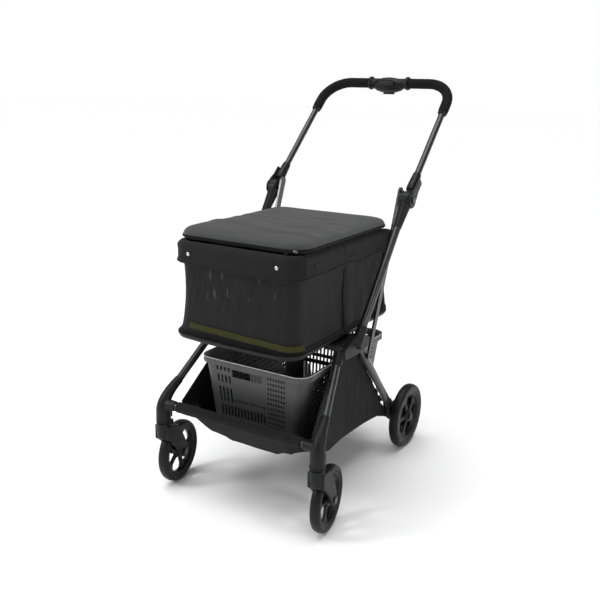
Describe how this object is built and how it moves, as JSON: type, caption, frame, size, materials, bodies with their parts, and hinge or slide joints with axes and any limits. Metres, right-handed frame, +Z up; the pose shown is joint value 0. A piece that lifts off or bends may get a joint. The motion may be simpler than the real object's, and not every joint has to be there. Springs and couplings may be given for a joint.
{
  "type": "pet stroller",
  "caption": "Folding pet stroller: zipped soft carrier on a tube frame, hinged push handle, swivel front casters, rear wheels with brake, sling and loose basket below.",
  "frame": {"origin": "on the floor, under the centre of the overall box", "axes": "+Z up, the front faces -Y, +X is the left side of the person pushing"},
  "size_m": [0.474, 0.7537, 0.9739],
  "materials": {
    "tube_gunmetal": "satin",
    "foam_grip": "matt foam",
    "black_plastic": "fine texture",
    "bright_steel": "bright",
    "rim_plastic": "satin",
    "tyre_rubber": "smooth",
    "mesh_cloth": "open mesh",
    "cover_cloth": "plain weave",
    "lid_cloth": "plain weave",
    "pad_cloth": "soft",
    "basket_plastic": "satin"
  },
  "bodies": {
    "frame": {"elbow_drum_left": "black_plastic", "elbow_drum_right": "black_plastic", "main_tube_left": "tube_gunmetal", "main_tube_right": "tube_gunmetal", "lower_bracket_left": "black_plastic", "lower_bracket_right": "black_plastic", "front_leg_left": "tube_gunmetal", "front_leg_right": "tube_gunmetal", "front_crossbar": "tube_gunmetal", "caster_head_left": "black_plastic", "caster_head_right": "black_plastic", "leg_pin_left": "bright_steel", "leg_pin_right": "bright_steel", "tray": "black_plastic", "carrier_walls": "mesh_cloth", "carrier_band": "cover_cloth", "pad": "pad_cloth", "sling": "cover_cloth"},
    "handle": {"handle_tube": "tube_gunmetal", "grip_left": "foam_grip", "grip_right": "foam_grip", "handle_housing": "black_plastic", "elbow_sleeve_left": "black_plastic", "elbow_sleeve_right": "black_plastic", "elbow_pin_left": "bright_steel", "elbow_pin_right": "bright_steel"},
    "thumb_button": {"thumb_button": "black_plastic"},
    "fold_tab": {"fold_tab": "black_plastic"},
    "fold_links": {"fold_link_left": "tube_gunmetal", "fold_link_right": "tube_gunmetal"},
    "rear_frame": {"rear_leg_left": "tube_gunmetal", "rear_leg_right": "tube_gunmetal", "wheel_bracket_left": "black_plastic", "wheel_bracket_right": "black_plastic", "rear_tube": "tube_gunmetal", "rear_axle_left": "bright_steel", "rear_axle_right": "bright_steel"},
    "brake": {"brake_bar": "bright_steel", "brake_pedal": "black_plastic"},
    "lid": {"lid": "lid_cloth"},
    "shopping_basket": {"shopping_basket": "basket_plastic"},
    "caster_left": {"caster_fork_left": "black_plastic", "front_axle_left": "bright_steel"},
    "front_wheel_left": {"front_rim_left": "rim_plastic", "front_tyre_left": "tyre_rubber"},
    "rear_wheel_left": {"rear_rim_left": "rim_plastic", "rear_tyre_left": "tyre_rubber"},
    "caster_lock_left": {"caster_lock_left": "black_plastic"},
    "caster_right": {"caster_fork_right": "black_plastic", "front_axle_right": "bright_steel"},
    "front_wheel_right": {"front_rim_right": "rim_plastic", "front_tyre_right": "tyre_rubber"},
    "rear_wheel_right": {"rear_rim_right": "rim_plastic", "rear_tyre_right": "tyre_rubber"},
    "caster_lock_right": {"caster_lock_right": "black_plastic"}
  },
  "joints": [
    {"name": "elbow_fold", "type": "hinge", "parent": "frame", "child": "handle", "pos_m": [0.0052, 0.081, 0.688], "axis": [1, 0, 0], "range_deg": [0, 130]},
    {"name": "link_fold", "type": "hinge", "parent": "handle", "child": "fold_links", "pos_m": [0.0052, 0.08741, 0.70589], "axis": [1, 0, 0], "range_deg": [-134, 0]},
    {"name": "rear_leg_fold", "type": "hinge", "parent": "frame", "child": "rear_frame", "pos_m": [0.0052, -0.099, 0.3805], "axis": [1, 0, 0], "range_deg": [-36, 0]},
    {"name": "thumb_button_slide", "type": "slide", "parent": "handle", "child": "thumb_button", "axis": [0, 1, 0], "range_m": [0, 0.003], "stiffness_N_per_m": 500, "springref_m": -0.002},
    {"name": "fold_tab_squeeze", "type": "slide", "parent": "handle", "child": "fold_tab", "axis": [0, 0, 1], "range_m": [0, 0.004], "stiffness_N_per_m": 500, "springref_m": -0.002},
    {"name": "brake_press", "type": "hinge", "parent": "rear_frame", "child": "brake", "pos_m": [0.0052, 0.165, 0.122], "axis": [-1, 0, 0], "range_deg": [0, 16]},
    {"name": "lid_hinge", "type": "hinge", "parent": "frame", "child": "lid", "pos_m": [0.0052, 0.055, 0.628], "axis": [-1, 0, 0], "range_deg": [0, 94]},
    {"name": "basket_slide", "type": "slide", "parent": "frame", "child": "shopping_basket", "axis": [0, 1, 0], "range_m": [0, 0.3]},
    {"name": "caster_swivel_left", "type": "hinge", "parent": "frame", "child": "caster_left", "pos_m": [0.2152, -0.359, 0.18], "axis": [0, 0, 1], "continuous": true},
    {"name": "front_wheel_spin_left", "type": "hinge", "parent": "caster_left", "child": "front_wheel_left", "pos_m": [0.20685, -0.29958, 0.076], "axis": [0.9903, 0.1392, 0], "continuous": true},
    {"name": "rear_wheel_spin_left", "type": "hinge", "parent": "rear_frame", "child": "rear_wheel_left", "pos_m": [0.1832, 0.182, 0.087], "axis": [1, 0, 0], "continuous": true},
    {"name": "caster_lock_slide_left", "type": "slide", "parent": "frame", "child": "caster_lock_left", "axis": [0, 0, -1], "range_m": [0, 0.006]},
    {"name": "caster_swivel_right", "type": "hinge", "parent": "frame", "child": "caster_right", "pos_m": [-0.2048, -0.359, 0.18], "axis": [0, 0, 1], "continuous": true},
    {"name": "front_wheel_spin_right", "type": "hinge", "parent": "caster_right", "child": "front_wheel_right", "pos_m": [-0.21315, -0.29958, 0.076], "axis": [0.9903, 0.1392, 0], "continuous": true},
    {"name": "rear_wheel_spin_right", "type": "hinge", "parent": "rear_frame", "child": "rear_wheel_right", "pos_m": [-0.1728, 0.182, 0.087], "axis": [1, 0, 0], "continuous": true},
    {"name": "caster_lock_slide_right", "type": "slide", "parent": "frame", "child": "caster_lock_right", "axis": [0, 0, -1], "range_m": [0, 0.006]}
  ],
  "couplings": [
    {"joint": "rear_leg_fold", "follows": "elbow_fold", "ratio": -0.27},
    {"joint": "link_fold", "follows": "elbow_fold", "ratio": -1.02}
  ]
}
